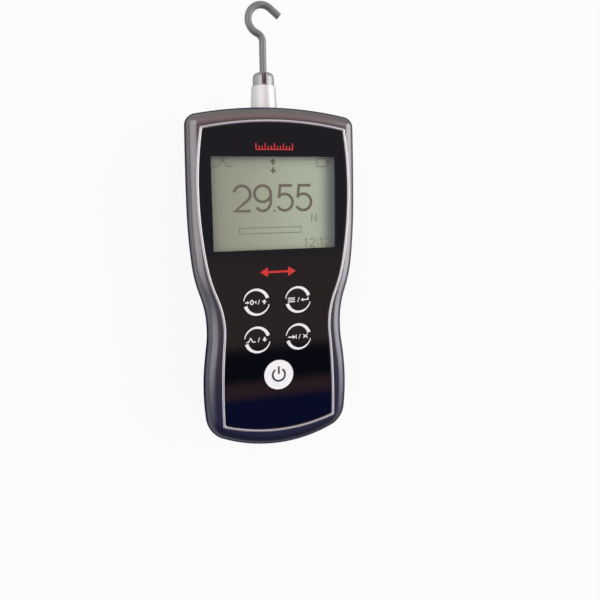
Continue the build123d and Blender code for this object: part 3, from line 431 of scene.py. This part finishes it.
def crescent(start, end):
    """Half of a ring that is thin at its start and wide at its end. Its width grows evenly with the
    angle, in degrees, and its middle line is half a width inside the ring's radius."""
    turn = np.radians(np.linspace(start, end, 40))
    width = np.linspace(0.35, 1.55, 40)
    middle = RING_RADIUS - width / 2
    return pen(np.column_stack([middle * np.cos(turn), middle * np.sin(turn)]), width)


def arrow_up(x, way=1):
    """A small arrow at x: up, or down where way is -1."""
    return [blot([(x, way * 1.0), (x - 1.15, -way * 0.1), (x + 1.15, -way * 0.1)]),
            pen(line_through((x, 0), (x, -way * 1.0)), 0.7)]


def slash(x):
    """The slanted stroke that parts a key's two signs."""
    return [pen(line_through((x - 0.35, -1.0), (x + 0.35, 1.0)), 0.32)]


SIGNS = {
    "zero": [
        pen(line_through((-5.0, 0), (-3.9, 0)), 0.5),
        blot([(-3.2, 0), (-4.1, -0.7), (-4.1, 0.7)]),
        pen(bow((-2.1, 0), (0.65, 0.85), 0, 342, 20), 0.45, closed=True),
        blot([(-1.0, 0), (-0.1, 0.7), (-0.1, -0.7)]),
        *slash(1.0), *arrow_up(3.4),
    ],
    "menu": [
        *[pen(line_through((-4.6, y), (-1.4, y)), 0.42) for y in (-0.8, 0, 0.8)],
        *slash(0.2),
        pen(line_through((4.6, 0.9), (4.6, -0.2), (2.2, -0.2)), 0.45),
        blot([(1.3, -0.2), (2.4, -0.95), (2.4, 0.55)]),
    ],
    "peak": [
        pen(line_through((-5.0, -0.8), (-4.0, -0.8), (-3.0, 0.9), (-2.0, -0.8), (-0.9, -0.8)), 0.45),
        *slash(0.6), *arrow_up(3.2, -1),
    ],
    "send": [
        pen(line_through((-4.8, 0), (-2.6, 0)), 0.5),
        blot([(-1.4, 0), (-2.7, -0.9), (-2.7, 0.9)]),
        pen(line_through((-1.1, -0.9), (-1.1, 0.9)), 0.42),
        *slash(0.5),
        pen(line_through((2.2, -0.8), (4.2, 0.8)), 0.45),
        pen(line_through((2.2, 0.8), (4.2, -0.8)), 0.45),
    ],
}


def on_key(name, key, shapes, paint):
    """Prints the shapes on the middle of a key's top; the mark rides on that key's body."""
    low, high = [np.array(corner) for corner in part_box("key_" + key)]
    middle = (low / MM + high / MM) / 2
    return printed(name, moved(shapes, middle[0], middle[1]), high[2], paint, key + "_key")


for key, signs in SIGNS.items():
    piece = on_key("key_print_" + key, key, [crescent(172, 18), crescent(348, 198), *signs], white_ink)


# Power key: a white moulded cap, with a dark printed sign of a broken ring and an upright. Under
# all five keys sit black push switches on the board, each with its own pale plunger.
dress(plain("white_cap", (0.88, 0.91, 0.89), 0.22), "key_power")
POWER_STROKE = 0.85
power_ring = pen(bow((0, 0), (2.8, 2.8), 125, 415, 48), POWER_STROKE)
power_bar = pen(line_through((0, 0.3), (0, 3.7)), POWER_STROKE)
dark_ink = plain("dark_ink", (0.030, 0.030, 0.038), 0.35)
on_key("power_sign", "power", [power_ring, power_bar], dark_ink)
dress(plain("switch_case", (0.03, 0.03, 0.03), 0.5), "switch_bodies")
dress(plain("switch_plunger", (0.75, 0.70, 0.60), 0.4), *["plunger_" + key for key in [*SIGNS, "power"]])


# Load line: a turned and plated nose sleeve, fixed in the shells; the slotted collet, screwed to
# the load shaft inside it; and the hook, bent from one piece of satin steel wire.
def turned_metal(name, colour, rough, metallic, rings):
    """Bright metal with faint turning marks: noise that varies only along the load axis, so it runs
    round the piece in rings."""
    paint = Paint(name)
    stretched = paint.node("ShaderNodeMapping", {"Vector": paint.place(), "Scale": (40.0, rings, 40.0)})
    marks = paint.noise(stretched, 1.0, 4.0)
    paint.set(Base__Color=(*colour, 1.0), Metallic=metallic, Roughness=marks * 0.16 + rough)
    paint.set(Specular__Tint=(0.2, 0.2, 0.2, 1.0))
    return paint.bump(marks, 0.012 * MM, 0.5)


dress(turned_metal("nose_plating", (0.665, 0.675, 0.670), 0.42, 0.68, 6000.0), "nose_sleeve")
dress(turned_metal("collet_plating", (0.38, 0.38, 0.38), 0.34, 0.9, 5000.0), "hook_collet")


def wire_steel():
    paint = Paint("wire_steel")
    where = paint.place()
    cloud = paint.noise(where, 300.0)
    drawn = paint.node("ShaderNodeMapping", {"Vector": where, "Scale": (900.0, 160.0, 900.0)})
    scratches = paint.noise(drawn, 1.0)
    colour = paint.mix(cloud, (0.17, 0.17, 0.17), (0.235, 0.235, 0.232))
    paint.set(Base__Color=colour, Metallic=0.6, Roughness=scratches * 0.2 + 0.36)
    return paint.bump(scratches, 0.02 * MM, 0.4)


dress(wire_steel(), "hook")
dress(plain("seal_rubber", (0.02, 0.02, 0.02), 0.6), "dust_seal")


# Foot and back: black moulded sockets for power and data, seated in the foot wall, and four turned
# brass bushes for a stand's screws, pressed into the rear shell.
dress(plain("socket_plastic", (0.025, 0.025, 0.027), 0.35), "power_socket", "data_socket")
dress(plain("turned_brass", (0.65, 0.48, 0.20), 0.25, 1.0), "stand_bushes")


# Inside: the circuit board and what it carries, the aluminium load cell between its anchor block
# and the load shaft, with its foil gauges and leads, and the battery pack on foam in its tray.
dress(plain("solder_mask", (0.015, 0.13, 0.05), 0.35), "main_board")
dress(plain("chip_plastic", (0.02, 0.02, 0.02), 0.5), "processor_chip", "converter_chip", "buzzer")
dress(plain("milled_aluminium", (0.72, 0.73, 0.74), 0.30, 1.0, 1200.0), "load_cell", "anchor_block")
dress(plain("gauge_foil", (0.60, 0.35, 0.08), 0.35), "strain_gauges")
dress(plain("tray_plastic", (0.03, 0.03, 0.03), 0.5), "battery_tray")
dress(plain("cell_sleeve", (0.04, 0.20, 0.09), 0.3), "battery_cells")
dress(plain("pad_foam", (0.04, 0.04, 0.04), 0.9), "battery_pad")
dress(plain("plug_plastic", (0.80, 0.76, 0.62), 0.4), "sensor_plug", "battery_plug")
dress(plain("lead_sleeve", (0.45, 0.03, 0.03), 0.4), "sensor_leads", "battery_leads")


# Floor, light and camera: a plain pale floor that keeps the gauge's shadow, a studio sky whose dark
# and warm bands give the gloss panel and the paint their reflections, and two large soft lamps.
FLOOR_HALF = 3.0
floor_corners = [(FLOOR_HALF * x, FLOOR_HALF * y, 0) for x, y in ((-1, -1), (1, -1), (1, 1), (-1, 1))]
floor_mesh = bpy.data.meshes.new("floor")
floor_mesh.from_pydata(floor_corners, [], [(0, 1, 2, 3)])
floor = bpy.data.objects.new("floor", floor_mesh)
bpy.context.collection.objects.link(floor)
white = Paint("floor_white")
white.set(Base__Color=(0.72, 0.72, 0.72, 1.0), Roughness=0.9)
rays = [white.node("ShaderNodeLightPath", output=name)
        for name in ("Is Camera Ray", "Is Glossy Ray", "Is Transmission Ray")]
seen = rays[0].math("MAXIMUM", rays[1]).math("MAXIMUM", rays[2])
glow = white.node("ShaderNodeEmission", {"Color": (1, 1, 1, 1), "Strength": 1.0})
shade = Value(white, white.shader.outputs[0])
GLOW_SHARE = 0.90
surface = white.node("ShaderNodeMixShader", [seen * GLOW_SHARE, shade, glow])
white.feed(white.output.inputs["Surface"], surface)
floor_mesh.materials.append(white.material)


class Sky(Paint):
    """The world's nodes, made the same way as a material's."""

    def __init__(self, name):
        self.world = bpy.data.worlds.new(name)
        self.world.use_nodes = True
        self.tree = self.world.node_tree
        self.shader = self.tree.nodes["Background"]


# Bands across the sky from beyond the gauge's foot to beyond its hook: place, colour.
SKY_BANDS = [
    (0.100, (0.07, 0.08, 0.15)),
    (0.250, (0.01, 0.03, 0.25)),
    (0.337, (0.02, 0.05, 0.42)),
    (0.341, (0.46, 0.24, 0.28)),
    (0.349, (0.46, 0.24, 0.28)),
    (0.354, (0.01, 0.02, 0.06)),
    (0.376, (0.03, 0.04, 0.08)),
    (0.384, (0.54, 0.38, 0.36)),
    (0.440, (0.52, 0.38, 0.37)),
    (0.465, (0.26, 0.27, 0.37)),
    (0.550, (0.34, 0.29, 0.34)),
    (0.725, (1.00, 0.64, 0.62)),
    (1.000, (0.85, 0.74, 0.72)),
]
LEFT_WALL, RIGHT_WALL, SKIRT = (0.42, 0.43, 0.47), (0.68, 0.69, 0.71), (0.62, 0.63, 0.65)
sky = Sky("studio")
bpy.context.scene.world = sky.world
away_x, away_y, away_z = sky.axes(sky.node("ShaderNodeTexCoord", output="Generated"))
slope = away_y / away_z.math("MAXIMUM", 0.15)
overhead = sky.node("ShaderNodeValToRGB", {"Fac": slope * 0.5 + 0.5}, stops=SKY_BANDS)
walls = sky.mix(away_x.step(-0.2, 0.2), LEFT_WALL, RIGHT_WALL)
room = sky.mix(abs(away_x).step(0.42, 0.70), overhead, walls)
near_floor = 1 - away_z.step(0.08, 0.32)
sky.set(Color=sky.mix(near_floor, room, SKIRT), Strength=1.0)


def soft_box(name, place, power, turn):
    """A large square lamp, turned from pointing straight down by the given degrees."""
    lamp = bpy.data.lights.new(name, "AREA")
    lamp.size, lamp.energy = 1.7, power
    made = bpy.data.objects.new(name, lamp)
    made.location = place
    made.rotation_euler = [math.radians(angle) for angle in turn]
    bpy.context.collection.objects.link(made)


soft_box("key_light", (-0.9, 0.3, 1.0), 11.5, (-12, -40, 0))
soft_box("fill_light", (1.5, 0.2, 0.9), 20.0, (-7, 59, 0))

CAMERA_PLACE = (-81.63, 37.47, 303.06)
CAMERA_TURN = (-8.824, -18.837, -0.804)
camera_data = bpy.data.cameras.new("camera")
camera_data.lens = 40.0
camera = bpy.data.objects.new("camera", camera_data)
camera.location = [distance * MM for distance in CAMERA_PLACE]
camera.rotation_euler = [math.radians(angle) for angle in CAMERA_TURN]
bpy.context.collection.objects.link(camera)
bpy.context.scene.camera = camera
bpy.context.scene.view_settings.view_transform = "Standard"
